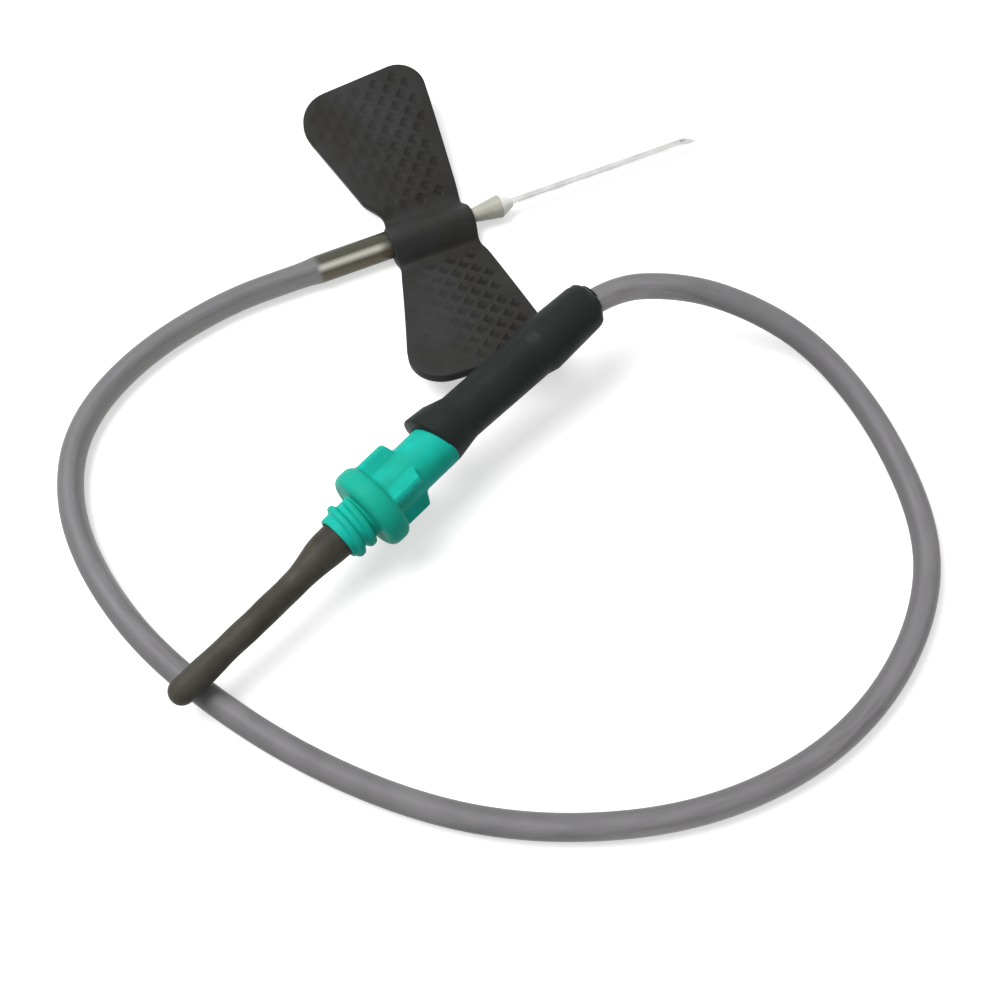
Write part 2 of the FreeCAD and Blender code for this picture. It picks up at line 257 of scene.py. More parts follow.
class Colours(bpy.types.PropertyGroup):
    wings: colour("Wings", "Soft black vinyl of the wings", 55, 55, 56)
    wings_dark: colour("Wings, dark", "Darker patches of the wings", 45, 44, 41)
    connector: colour("Connector", "Soft black vinyl of the connector", 38, 43, 42)
    teal: colour("Adapter", "Teal plastic of the adapter", 28, 188, 172)
    teal_dark: colour("Adapter, deep", "Deeper teal of drifting patches", 28, 172, 150)
    # Painted shade: the deeper teal put on the adapter's flange.
    teal_flange: colour("Adapter flange", "Deeper teal where the plastic is thick", 30, 174, 152)
    rubber: colour("Sleeve", "Dark rubber of the sleeve", 70, 68, 60)
    rubber_dark: colour("Sleeve, dark", "Darker patches of the sleeve", 55, 52, 45)
    hub: colour("Hub", "Pale plastic of the needle hub", 185, 185, 172)
    cone: colour("Hub cone", "Bright end cone of the hub's nose", 248, 249, 243)
    steel: colour("Steel", "Polished steel of the needles", 224, 224, 222)
    # Painted light and shade: the hub's tail as though seen through the tube, its highlight and shaded side,
    # on a shaded wall.
    tube_clear: colour("Tube over the hub", "Shaded tube wall round the hub's tail", 84, 84, 74)
    tail: colour("Hub tail", "Light on the hub's tail, through the tube", 216, 213, 202)
    tail_shade: colour("Hub tail, shaded", "Shaded side of the hub's tail", 158, 146, 124)
    tube: colour("Tube", "Clear vinyl of the tube", 145, 143, 145)
    # Painted light: the light rim along the tube.
    tube_rim: colour("Tube rim", "Light that gathers in the tube's wall", 214, 212, 210)
    floor: colour("Floor", "Plain pale floor", 236, 236, 236)


def smooth_step(low, high, value):
    """Rises smoothly from 0 at low to 1 at high."""
    t = np.clip((np.asarray(value, float) - low) / (high - low), 0, 1)
    return t * t * (3 - 2 * t)


def link(name, data):
    """New object in the scene for a mesh, curve, camera or light."""
    piece = bpy.data.objects.new(name, data)
    bpy.context.scene.collection.objects.link(piece)
    return piece


def evaluated_mesh(piece):
    """Plain mesh of an object with its modifiers applied."""
    bpy.context.view_layer.update()
    depsgraph = bpy.context.evaluated_depsgraph_get()
    return bpy.data.meshes.new_from_object(piece.evaluated_get(depsgraph), depsgraph=depsgraph)


def settle(piece):
    """Applies a piece's modifiers, so that it is one plain mesh."""
    mesh = evaluated_mesh(piece)
    old = piece.data
    piece.modifiers.clear()
    piece.data = mesh
    bpy.data.meshes.remove(old)


def aim(piece, place, target):
    """Puts a camera or lamp at a place and turns it to a target."""
    piece.location = place
    piece.rotation_euler = (Vector(target) - Vector(place)).to_track_quat("-Z", "Y").to_euler()


def mesh_from(name, vertices, faces):
    """Mesh with smooth faces that all point outwards."""
    mesh = bpy.data.meshes.new(name)
    mesh.from_pydata([tuple(v) for v in vertices], [], faces)
    work = bmesh.new()
    work.from_mesh(mesh)
    bmesh.ops.recalc_face_normals(work, faces=work.faces)
    work.to_mesh(mesh)
    work.free()
    mesh.shade_smooth()
    return mesh


def finish_piece(piece, material, body=None):
    """Scales a piece from millimetres, gives it its finish and lets it ride on its body."""
    piece.data.transform(Matrix.Scale(MM, 4))
    piece.data.materials.clear()
    piece.data.materials.append(material)
    if body:
        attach(piece, body)


def connector_place(sizes):
    """Place of the connector's axis, with the mouth at its origin and +X towards the tube."""
    mouth = Vector((sizes.mouth_x, sizes.mouth_y, sizes.mouth_height))
    turn = Matrix.Rotation(sizes.heading, 4, "Z") @ Matrix.Rotation(-sizes.pitch, 4, "Y")
    return Matrix.Translation(mouth) @ turn


def rounded(corners, steps=6):
    """Outline of (x, radius) points from (x, radius, rounding) corners."""
    outline = []
    for number, (x, radius, rounding) in enumerate(corners):
        corner = Vector((x, radius))
        if not rounding:
            outline.append(corner)
            continue
        before = (Vector(corners[number - 1][:2]) - corner).normalized()
        after = (Vector(corners[number + 1][:2]) - corner).normalized()
        half = before.angle(after) / 2
        reach = rounding / math.tan(half)
        centre = corner + (before + after).normalized() * rounding / math.sin(half)
        start = corner + before * reach - centre
        end = corner + after * reach - centre
        sweep = start.angle_signed(end)
        for step in range(steps + 1):
            spoke = start.copy()
            spoke.rotate(Matrix.Rotation(-sweep * step / steps, 2))
            outline.append(centre + spoke)
    return outline


def ring_faces(first, second):
    """Faces between two closed rings of vertex numbers, where a ring may be one vertex."""
    faces = []
    for step in range(len(first)):
        after = (step + 1) % len(first)
        corners = dict.fromkeys([first[step], first[after], second[after], second[step]])
        if len(corners) > 2:
            faces.append(list(corners))
    return faces


def hollow_faces(outer, inner):
    """Faces of a hollow bar from the rings of its outside and its bore, with both ends closed."""
    ends = [(outer[0], inner[0]), (outer[-1], inner[-1])]
    pairs = [*zip(outer, outer[1:]), *zip(inner, inner[1:]), *ends]
    return [face for pair in pairs for face in ring_faces(*pair)]


def turned(name, outline, around=96):
    """Mesh turned about the X axis from an outline that starts and ends on the axis."""
    rings = []
    vertices = []
    for x, radius in outline:
        if radius < 1e-6:
            rings.append([len(vertices)] * around)
            vertices.append((x, 0, 0))
            continue
        rings.append(list(range(len(vertices), len(vertices) + around)))
        for step in range(around):
            turn = 2 * math.pi * step / around
            vertices.append((x, radius * math.cos(turn), radius * math.sin(turn)))
    faces = [face for pair in zip(rings, rings[1:]) for face in ring_faces(*pair)]
    return mesh_from(name, vertices, faces)


def store(mesh, name, values, domain="POINT"):
    """Keeps a number for each point or face under a name."""
    mesh.attributes.new(name, "FLOAT", domain).data.foreach_set("value", values)


class Nodes:
    """Node tree with short calls to add nodes and to fill or join their sockets."""

    def __init__(self, tree):
        self.tree = tree

    def add(self, kind, sockets=None, **settings):
        """Outputs of a new node with these settings and sockets."""
        node = self.tree.nodes.new(kind)
        for setting, value in settings.items():
            setattr(node, setting, value)
        self.fill(node, sockets or {})
        return node.outputs

    def fill(self, node, sockets):
        """Sets a node's inputs to values, or joins them where an output is given."""
        for socket, value in sockets.items():
            if isinstance(value, bpy.types.NodeSocket):
                self.tree.links.new(value, node.inputs[socket])
            else:
                node.inputs[socket].default_value = value

    def calc(self, operation, *values):
        """Result of one of the Math node's operations."""
        return self.add("ShaderNodeMath", dict(enumerate(values)), operation=operation)[0]


class Finish(Nodes):
    """Material with one surface shader, and calls for its colour, roughness and relief."""

    def __init__(self, name, **sockets):
        self.material = bpy.data.materials.new(name)
        self.material.use_nodes = True
        super().__init__(self.material.node_tree)
        self.surface = self.tree.nodes["Principled BSDF"]
        self.dress({socket.replace("_", " "): value for socket, value in sockets.items()})
        self.place = self.add("ShaderNodeTexCoord")["Object"]

    def dress(self, sockets):
        """Fills or joins inputs of the surface shader."""
        self.fill(self.surface, sockets)

    def stored(self, name):
        """Number that the mesh keeps under a name."""
        return self.add("ShaderNodeAttribute", attribute_name=name)["Fac"]

    def noise(self, size, stretch=None):
        """Noise with features of that size in millimetres, drawn out along an axis if asked."""
        place = self.place
        if stretch:
            place = self.add("ShaderNodeMapping", {"Scale": stretch, "Vector": place})["Vector"]
        sockets = {"Scale": 1 / (size * MM), "Detail": 3.0, "Vector": place}
        return self.add("ShaderNodeTexNoise", sockets)["Fac"]

    def between(self, factor, low, high, from_low=0.35, from_high=0.65):
        """Number that goes from low to high with a factor."""
        names = ("Value", "From Min", "From Max", "To Min", "To Max")
        sockets = dict(zip(names, (factor, from_low, from_high, low, high)))
        return self.add("ShaderNodeMapRange", sockets)["Result"]

    def mixed(self, factor, first, second):
        """Colour that goes from the first to the second with a factor."""
        sockets = {"Factor": factor}
        for socket, tone in ((6, first), (7, second)):
            sockets[socket] = tone if isinstance(tone, bpy.types.NodeSocket) else (*tone, 1)
        return self.add("ShaderNodeMix", sockets, data_type="RGBA")[2]

    def mottle(self, first, second, size):
        """Colour that drifts between two tones in patches of that size."""
        tone = self.mixed(self.between(self.noise(size), 0, 1), first, second)
        self.dress({"Base Color": tone})
        return tone

    def sheen_range(self, low, high, size, stretch=None):
        """Roughness that drifts between two values."""
        self.dress({"Roughness": self.between(self.noise(size, stretch), low, high)})

    def grain(self, *layers):
        """Relief from layers of noise, each with its size, its depth and perhaps a stretch."""
        sockets = {"Strength": 1.0}
        for size, depth, *stretch in layers:
            sockets.update({"Distance": depth * MM, "Height": self.noise(size, *stretch)})
            sockets["Normal"] = self.add("ShaderNodeBump", sockets)["Normal"]
        self.dress({"Normal": sockets["Normal"]})


def wavered(place, frequency, share):
    """Number near 1 that wanders by a share from place to place."""
    return 1 + noise.noise(place * frequency) * share


def dimmed(tone, share):
    """A colour with each part multiplied by a share."""
    return [part * share for part in tone]


def wing_finish(colours):
    """Soft black, with painted shade on the dimples' floors, most of all in front and on the near wing."""
    finish = Finish("wing_vinyl", Specular_IOR_Level=0.1)
    tone = finish.mottle(colours.wings, colours.wings_dark, 5.0)
    finish.sheen_range(0.46, 0.6, 1.3)
    place = finish.add("ShaderNodeSeparateXYZ", {"Vector": finish.place})
    front = finish.between(place["X"], 0.04, 0.52, FAINT_FROM * MM, CLEAR_FROM * MM)
    near = finish.between(place["Y"], 1, 0.5, -1 * MM, 5 * MM)
    # Painted shade on the dimples' floors, fading towards the back and on the far wing.
    shade = finish.calc("MULTIPLY", finish.stored("sunk"), finish.calc("MULTIPLY", front, near))
    deep_shade = (0.004, 0.004, 0.004)
    finish.dress({"Base Color": finish.mixed(shade, tone, deep_shade)})
    finish.grain((0.9, 0.02), (0.12, 0.004))
    return finish.material


def connector_finish(colours):
    """Smooth soft black."""
    finish = Finish("connector_vinyl", Specular_IOR_Level=0.08)
    finish.mottle(colours.connector, dimmed(colours.connector, 0.8), 4.0)
    finish.sheen_range(0.4, 0.55, 1.6)
    finish.grain((1.8, 0.03), (0.1, 0.004))
    return finish.material


def adapter_finish(colours):
    """Teal, with painted shade: a deeper teal on the flange."""
    finish = Finish(
        "teal_plastic",
        Specular_IOR_Level=0.06,
        Subsurface_Weight=0.15,
        Subsurface_Radius=(0.4, 1.0, 0.9),
        Subsurface_Scale=0.3 * MM,
    )
    tone = finish.mottle(colours.teal, colours.teal_dark, 2.4)
    # Painted shade: a deeper teal on the flange.
    finish.dress({"Base Color": finish.mixed(finish.stored("thick"), tone, colours.teal_flange)})
    finish.sheen_range(0.4, 0.52, 1.0)
    finish.grain((0.8, 0.012))
    return finish.material


def sleeve_finish(colours):
    """Matt dark rubber."""
    finish = Finish("sleeve_rubber", Specular_IOR_Level=0.18)
    finish.mottle(colours.rubber, colours.rubber_dark, 3.0)
    finish.sheen_range(0.5, 0.66, 1.4)
    finish.grain((1.1, 0.03), (0.14, 0.008))
    return finish.material


def hub_finish(colours, cone_start):
    """Pale plastic, brighter on the cone in front of that place."""
    finish = Finish(
        "hub_plastic",
        Specular_IOR_Level=0.5,
        Subsurface_Weight=0.3,
        Subsurface_Radius=(1.0, 0.8, 0.5),
        Subsurface_Scale=0.4 * MM,
    )
    tone = finish.mottle(colours.hub, dimmed(colours.hub, 0.86), 1.6)
    place = finish.add("ShaderNodeSeparateXYZ", {"Vector": finish.place})
    on_cone = finish.between(place["X"], 0, 1, cone_start * MM, (cone_start + 0.15) * MM)
    finish.dress({"Base Color": finish.mixed(on_cone, tone, colours.cone)})
    finish.sheen_range(0.22, 0.34, 0.8)
    finish.grain((0.5, 0.006))
    return finish.material


def steel_finish(name, colours):
    """Drawn steel: its roughness and grain run along the needle."""
    finish = Finish(name, Metallic=1.0)
    finish.mottle(colours.steel, dimmed(colours.steel, 0.85), 1.5)
    finish.sheen_range(0.16, 0.3, 0.08, (0.03, 1, 1))
    finish.grain((0.05, 0.0015, (0.02, 1, 1)))
    return finish.material


def tube_finish(colours, clear_end):
    """Cloudy vinyl with painted shade bands and a painted light rim; where it is stretched over the hub's
    tail it is smoother and the tail is painted on, with a painted highlight and painted shade.
    """
    finish = Finish("clear_vinyl", IOR=1.35, Specular_IOR_Level=0.3, Transmission_Weight=0.15)
    between, mixed, calc = finish.between, finish.mixed, finish.calc
    along = finish.stored("along")
    around = finish.stored("around")

    def by_degrees(turn, low, high, from_degrees, to_degrees):
        return between(turn, low, high, math.radians(from_degrees), math.radians(to_degrees))

    # Over the hub's tail, the tail as though seen through the tube: a painted highlight, painted shade on
    # the wall and a paler lower side, the tail's painted shaded side.
    tail_highlight_turn = math.radians(32)
    offset = calc("SUBTRACT", around, tail_highlight_turn)
    across = by_degrees(calc("ABSOLUTE", offset), 1, 0, 3, 21)
    tail_highlight = calc("MULTIPLY", across, between(along, 0.2, 1, 0.2, 1.2))
    lower = by_degrees(offset, 0, 0.8, 8, 45)
    over_tail = mixed(tail_highlight, mixed(lower, colours.tube_clear, colours.tail_shade), colours.tail)

    # The rest: drawn-out clouds and drifting patches, painted shade over the first stretch from the barrel
    # and in a dark band near the top, and a painted light rim.
    unrolled = finish.add("ShaderNodeCombineXYZ", {"X": calc("DIVIDE", along, 9.0), "Y": around})
    clouds = finish.add("ShaderNodeTexNoise", {"Scale": 2.2, "Vector": unrolled["Vector"]})["Fac"]
    darker = dimmed(colours.tube, 0.72)
    cloudy = mixed(between(clouds, 0, 1), colours.tube, darker)
    patches = calc("MULTIPLY", between(finish.noise(9.0), 0, 0.6), between(along, 0, 1, 15, 60))
    cloudy = mixed(patches, cloudy, dimmed(colours.tube, 1.12))
    # Painted shade: darker over the first stretch of the tube from the barrel.
    cloudy = mixed(between(along, 0.6, 0, 25, 60), cloudy, darker)
    # Painted shade: a dark band near the tube's top, and a painted light rim down one side, both kept off
    # the underside.
    turned_up = by_degrees(calc("ABSOLUTE", around), 1, 0, 100, 160)
    upper = calc("MULTIPLY", by_degrees(around, 1, 0, -50, 15), turned_up)
    cloudy = mixed(upper, cloudy, dimmed(colours.tube, 0.68))
    rim = calc("MULTIPLY", by_degrees(around, 0, 1, 40, 95), turned_up)
    cloudy = mixed(rim, cloudy, colours.tube_rim)

    clear = between(along, 1, 0, clear_end - 0.2, clear_end + 0.3)
    roughness = between(clear, 0.42, 0.2, 0, 1)
    finish.dress({"Base Color": mixed(clear, cloudy, over_tail), "Roughness": roughness})
    finish.grain((1.2, 0.02))
    return finish.material


class GeometryTree(Nodes):
    """Geometry tree with named inputs that ends in Realize Instances and Set Material."""

    def __init__(self, name, **inputs):
        super().__init__(bpy.data.node_groups.new(name, "GeometryNodeTree"))
        interface = self.tree.interface
        for in_out in ("INPUT", "OUTPUT"):
            interface.new_socket("Geometry", in_out=in_out, socket_type="NodeSocketGeometry")
        for label, value in inputs.items():
            kind = "NodeSocketInt" if isinstance(value, int) else "NodeSocketFloat"
            interface.new_socket(label, in_out="INPUT", socket_type=kind).default_value = value
        interface.new_socket("Material", in_out="INPUT", socket_type="NodeSocketMaterial")
        self.given = self.add("NodeGroupInput")

    def finish(self, made):
        """Ends the tree and gives it back."""
        realized = self.add("GeometryNodeRealizeInstances", {"Geometry": made})[0]
        sockets = {"Geometry": realized, "Material": self.given["Material"]}
        painted = self.add("GeometryNodeSetMaterial", sockets)[0]
        self.add("NodeGroupOutput", {"Geometry": painted})
        return self.tree


def add_tree(piece, tree, **values):
    """Puts a geometry tree on a piece with its named inputs set."""
    modifier = piece.modifiers.new(tree.name, "NODES")
    modifier.node_group = tree
    for item in tree.interface.items_tree:
        if item.in_out == "INPUT" and item.name in values:
            modifier[item.identifier] = values[item.name]


def dimple_tree():
    """Sinks each face by its dimple value: a flat lip, a sloping wall and a floor."""
    work = GeometryTree("dimple_lattice", Depth=0.2, Lip=0.9, Floor=0.74)
    given = work.given
    value = work.add("GeometryNodeInputNamedAttribute", {"Name": "dimple"}, data_type="FLOAT")["Attribute"]
    chosen = work.add("FunctionNodeCompare", {"A": value}, operation="GREATER_THAN")["Result"]
    down = work.calc("MULTIPLY", work.calc("MULTIPLY", given["Depth"], -0.5), value)
    mesh = given["Geometry"]
    for sink, scale in ((0.0, "Lip"), (down, "Lip"), (down, "Floor")):
        sockets = {"Mesh": mesh, "Selection": chosen, "Offset Scale": sink, "Individual": True}
        extruded = work.add("GeometryNodeExtrudeMesh", sockets)
        chosen = extruded["Top"]
        sockets = {"Geometry": extruded["Mesh"], "Selection": chosen, "Scale": given[scale]}
        mesh = work.add("GeometryNodeScaleElements", sockets)["Geometry"]
    # Marks the dimples' floors as sunk, where the wing finish paints shade.
    sockets = {"Geometry": mesh, "Selection": chosen, "Name": "sunk", "Value": 1.0}
    mesh = work.add("GeometryNodeStoreNamedAttribute", sockets, data_type="FLOAT", domain="FACE")["Geometry"]
    return work.finish(work.add("GeometryNodeSetShadeSmooth", {"Geometry": mesh})["Geometry"])


def rib_tree():
    """Copies the incoming rib round the X axis."""
    work = GeometryTree("ribs_round_barrel", Count=4, Turn=0.0)
    given = work.given
    points = work.add("GeometryNodePoints", {"Count": given["Count"]})[0]
    share = work.calc("DIVIDE", work.add("GeometryNodeInputIndex")[0], given["Count"])
    turn = work.calc("MULTIPLY_ADD", share, 2 * math.pi, given["Turn"])
    spin = work.add("ShaderNodeCombineXYZ", {"X": turn})[0]
    sockets = {"Points": points, "Instance": given["Geometry"], "Rotation": spin}
    return work.finish(work.add("GeometryNodeInstanceOnPoints", sockets)["Instances"])


def thread_tree():
    """Winds the incoming profile curve into a right-hand thread along the X axis."""
    work = GeometryTree("coarse_thread", Turns=1.9, Radius=2.0, Length=2.6)
    given = work.given
    sockets = {
        "Resolution": 72,
        "Rotations": given["Turns"],
        "Start Radius": given["Radius"],
        "End Radius": given["Radius"],
        "Height": given["Length"],
    }
    spiral = work.add("GeometryNodeCurveSpiral", sockets)["Curve"]
    upright = work.add("GeometryNodeSetCurveNormal", {"Curve": spiral}, mode="Z_UP")["Curve"]
    sockets = {"Curve": upright, "Profile Curve": given["Geometry"], "Fill Caps": True}
    ridge = work.add("GeometryNodeCurveToMesh", sockets)["Mesh"]
    sockets = {"Geometry": ridge, "Rotation": (0, math.pi / 2, 0)}
    return work.finish(work.add("GeometryNodeTransform", sockets)["Geometry"])


def arc_through(first, middle, last, steps=120):
    """Points of the circle's arc through three points of a plane."""
    a, b, c = (complex(*point) for point in (first, middle, last))
    w = (c - a) / (b - a)
    centre = (b - a) * (w - abs(w) ** 2) / (2j * w.imag) + a
    sweep = np.angle((c - centre) / (a - centre))
    spokes = (a - centre) * np.exp(1j * np.linspace(0, sweep, steps))
    return [Vector((p.real, p.imag)) for p in centre + spokes]


def bend_between(before, after, radius, steps=14):
    """Two runs of points that meet in a corner, joined by a rounding of that radius."""
    corner = before[-1]
    incoming = (corner - before[-2]).normalized()
    outgoing = (after[1] - corner).normalized()
    turn = incoming.angle(outgoing)
    reach = radius * math.tan(turn / 2)
    kept_before = [p for p in before if (p - corner).length > reach]
    kept_after = [p for p in after if (p - corner).length > reach]
    start = corner - incoming * reach
    end = corner + outgoing * reach
    handle = radius * 4 / 3 * math.tan(turn / 4)
    knots = (start, start + incoming * handle, end - outgoing * handle, end)
    rounding = geometry.interpolate_bezier(*(p.to_3d() for p in knots), steps)
    return kept_before + [Vector(p[:2]) for p in rounding] + kept_after


def straight(first, last, steps=24):
    """Points of a straight run between two places of a plane."""
    return [Vector(first).lerp(Vector(last), step / steps) for step in range(steps + 1)]


def wing_outline(sizes, spacing=0.3):
    """Closed outline of the moulding, laid flat: x along the needle, y along the wings."""
    hinge = sizes.hinge
    front = arc_through(
        (sizes.root_front, hinge),
        (sizes.front_bow, hinge + sizes.bow_at),
        (sizes.tip_front, hinge + sizes.span),
    )
    back = arc_through(
        (sizes.tip_back, hinge + sizes.span - sizes.tip_slant),
        (sizes.back_bow, hinge + sizes.bow_at),
        (sizes.root_back, hinge),
    )
    nose_edge = straight((sizes.barrel_front, 0), (sizes.barrel_front, sizes.front_width / 2), 12)
    nose_slope = straight(nose_edge[-1], front[0], 12)
    tail_edge = straight((sizes.barrel_back, sizes.back_width / 2), (sizes.barrel_back, 0), 12)
    tail_slope = straight(back[-1], tail_edge[0], 12)
    end_round = 0.2
    root_round = 1.2
    runs = (
        (nose_slope, end_round),
        (front, root_round),
        (straight(front[-1], back[0]), sizes.front_corner),
        (back, sizes.back_corner),
        (tail_slope, root_round),
        (tail_edge, end_round),
    )
    half = nose_edge
    for run, corner in runs:
        half = bend_between(half, run, corner)
    other = [Vector((p.x, -p.y)) for p in reversed(half)]
    points = np.array([tuple(p) for p in half + other[1:-1]])
    closed = np.vstack([points, points[:1]])
    along = np.concatenate([[0], np.cumsum(np.linalg.norm(np.diff(closed, axis=0), axis=1))])
    places = np.linspace(0, along[-1], round(along[-1] / spacing), endpoint=False)
    return np.column_stack([np.interp(places, along, closed[:, axis]) for axis in (0, 1)])


def inward(outline, distance):
    """The outline moved inwards by a distance."""
    tangent = np.roll(outline, -1, 0) - np.roll(outline, 1, 0)
    tangent /= np.linalg.norm(tangent, axis=1)[:, None]
    return outline + distance * np.column_stack([-tangent[:, 1], tangent[:, 0]])


def depth_inside(points, outline):
    """Distance of points from the outline, negative outside it."""
    start = outline
    step = np.roll(outline, -1, 0) - start
    offset = points[:, None, :] - start[None]
    share = np.clip((offset * step).sum(2) / (step**2).sum(1), 0, 1)
    distance = np.linalg.norm(offset - share[..., None] * step, axis=2).min(1)
    crosses = (start[:, 1] > points[:, 1:2]) != (np.roll(start[:, 1], -1) > points[:, 1:2])
    rise = np.where(step[:, 1] == 0, 1e-12, step[:, 1])
    at_x = start[:, 0] + (points[:, 1:2] - start[:, 1]) * step[:, 0] / rise
    inside = (crosses & (points[:, 0:1] < at_x)).sum(1) % 2 == 1
    return np.where(inside, distance, -distance)


def barrel_height(sizes, height, x, across):
    """Height of the barrel's hump above the root, from its round top down its soft flanks."""
    share = (x - sizes.barrel_back) / (sizes.barrel_front - sizes.barrel_back)
    radius = (sizes.back_width + (sizes.front_width - sizes.back_width) * np.clip(share, 0, 1)) / 2
    cap_edge = radius * math.sin(sizes.flank_slope)
    cap_height = height + radius * math.cos(sizes.flank_slope) - sizes.root_thickness
    cap = height + np.sqrt(np.maximum(radius**2 - across**2, 0)) - sizes.root_thickness
    run = sizes.hinge + sizes.flank - cap_edge
    t = np.clip((across - cap_edge) / run, 0, 1)
    slope = -math.tan(sizes.flank_slope) * run
    flank_height = cap_height * (2 * t**3 - 3 * t**2 + 1) + slope * (t**3 - 2 * t**2 + t)
    return np.where(across < cap_edge, cap, np.maximum(flank_height, 0))


def raised(sizes, height, flat, top, drop):
    """Places in space of points of the flat outline, on the moulding's top or its underside."""
    x = flat[:, 0]
    across = np.abs(flat[:, 1])
    side = np.where(flat[:, 1] < 0, -1.0, 1.0)
    root = sizes.root_thickness / 2
    web = sizes.web / 2
    ease = 0.2
    into_web = smooth_step(sizes.hinge - ease, sizes.hinge + ease, across)
    if top:
        web_end = sizes.hinge + 0.3
        full_at = sizes.hinge + 1.8 * sizes.web_length
        out_of_web = smooth_step(web_end, full_at, across)
        offset = root + (web - root) * into_web + (sizes.thickness - sizes.web) * out_of_web
        offset = offset + barrel_height(sizes, height, x, across) - drop
    else:
        offset = -root - (web - root) * into_web + drop
    bend_start = sizes.hinge - sizes.bend / 2
    bent = np.clip((across - bend_start) / sizes.bend, 0, 1) * sizes.rise
    radius = sizes.bend / sizes.rise
    beyond = np.maximum(across - bend_start - sizes.bend, 0)
    y = np.minimum(across, bend_start) + (radius - offset) * np.sin(bent) + beyond * np.cos(bent)
    z = root + radius + (offset - radius) * np.cos(bent) + beyond * np.sin(bent)
    past_root = np.clip((flat[:, 1] - sizes.hinge - sizes.tuck_at) / sizes.tuck_length, -1, 1)
    at_back = 1 - smooth_step(sizes.root_back - 0.6, 0.5, x)
    tuck = sizes.tuck * np.cos(math.pi / 2 * past_root) ** 2 * at_back
    return np.column_stack([x + tuck, side * y, z])


def lattice_cells(sizes, outline):
    """Corners of each dimple: eight-sided squares in diagonal rows, inside a plain border."""
    along = sizes.pitch * np.array([math.cos(sizes.turn), math.sin(sizes.turn)])
    aside = sizes.pitch * np.array([-math.sin(sizes.turn), math.cos(sizes.turn)])
    span = range(-20, 21)
    start = np.array([1.5, sizes.hinge + 2.6])
    centres = np.array([start + i * along + j * aside for i in span for j in span])
    half = sizes.dimple / 2
    cut = 0.72 * half
    octagon = [(half, -cut), (half, cut)]
    while len(octagon) < 8:
        octagon += [(-v, u) for u, v in octagon[-2:]]
    corners = np.array([u * along / sizes.pitch + v * aside / sizes.pitch for u, v in octagon])
    inside = depth_inside(centres, outline) > sizes.border + half
    past_web = centres[:, 1] > sizes.hinge + 0.4 + half
    cells = [centre + corners for centre in centres[inside & past_web]]
    return cells + [(cell * (1, -1))[::-1] for cell in cells]


def sheet_faces(rings, extra, cells):
    """Triangles over the flat outline through its rings, extra points and dimple corners."""
    points = list(np.vstack(rings))
    edges = []
    for number, ring in enumerate(rings):
        first = number * len(ring)
        edges += [(first + i, first + (i + 1) % len(ring)) for i in range(len(ring))]
    points += list(extra)
    cell_corners = []
    for cell in cells:
        first = len(points)
        points += list(cell)
        cell_corners.append(list(range(first, first + len(cell))))
        edges += [(first + i, first + (i + 1) % len(cell)) for i in range(len(cell))]
    result = geometry.delaunay_2d_cdt([Vector(p) for p in points], edges, [], 0, 1e-7)
    flat = np.array([tuple(v) for v in result[0]])
    triangles = np.array([list(face) for face in result[2]])
    centres = flat[triangles].mean(1)
    kept = depth_inside(centres, rings[0]) > 0
    placed = {origin: number for number, origins in enumerate(result[3]) for origin in origins}
    cell_faces = [[placed[i] for i in cell] for cell in cell_corners]
    for cell, face in zip(cells, cell_faces):
        near = kept & (np.abs(centres - cell.mean(0)).max(1) < 1)
        members = np.isin(triangles, face).all(1) & near
        kept &= ~members
    rim = [placed[i] for i in range(len(rings[0]))]
    return flat, [list(map(int, t)) for t in triangles[kept]], cell_faces, rim


def dimple_value(cell):
    """Share of the full depth that a dimple sinks: most in front and on the near wing."""
    x, y = cell.mean(0)
    least = 0.15
    most = 0.6 if y > 0 else 1.0
    return least + (most - least) * smooth_step(FAINT_FROM, CLEAR_FROM, x)


def wing_mesh(sizes, height):
    """The whole moulding: barrel, root and both wings in one closed skin."""
    outline = wing_outline(sizes)
    quarter = [math.radians(a) for a in (0, 22.5, 45, 67.5, 90)]
    step_x, step_y = 0.36, 0.1
    root_x = np.arange(sizes.barrel_back + 0.2, sizes.barrel_front - 0.1, step_x)
    root_y = np.arange(-sizes.hinge - 0.3, sizes.hinge + 0.31, step_y)
    root = np.array([(x, y) for x in root_x for y in root_y])
    vertices = []
    faces = []
    marked = []
    rims = []
    for top, edge in ((True, sizes.edge), (False, sizes.edge / 2)):
        rings = [inward(outline, edge * (1 - math.cos(a))) for a in quarter]
        extra = root[depth_inside(root, rings[-1]) > 0.1]
        cells = lattice_cells(sizes, outline) if top else []
        flat, triangles, cell_faces, rim = sheet_faces(rings, extra, cells)
        inset = np.clip(depth_inside(flat, outline), 0, edge)
        drop = edge - np.sqrt(np.maximum(edge**2 - (edge - inset) ** 2, 0))
        first = len(vertices)
        vertices += list(raised(sizes, height, flat, top, drop))
        rims.append([first + i for i in rim])
        faces += [[first + i for i in face] for face in triangles + cell_faces]
        marked += [0.0] * len(triangles)
        marked += [dimple_value(cell) for cell in cells]
    between_rims = ring_faces(*rims)
    mesh = mesh_from("wings", vertices, faces + between_rims)
    store(mesh, "dimple", marked + [0.0] * len(between_rims), "FACE")
    return mesh


class BUTTERFLY_OT_camera(bpy.types.Operator):
    """Camera at the photograph's viewing angle"""

    bl_idname = "butterfly.camera"
    bl_label = "Camera"

    def execute(self, context):
        view = bpy.data.cameras.new("camera")
        view.sensor_width = 36.0
        view.angle = math.radians(32.954)
        view.clip_start = 0.005
        view.clip_end = 5.0
        camera = link("camera", view)
        aim(camera, (-0.02728, -0.08117, 0.12767), (-0.00422, -0.02629, 0.0))
        context.scene.camera = camera
        return {"FINISHED"}


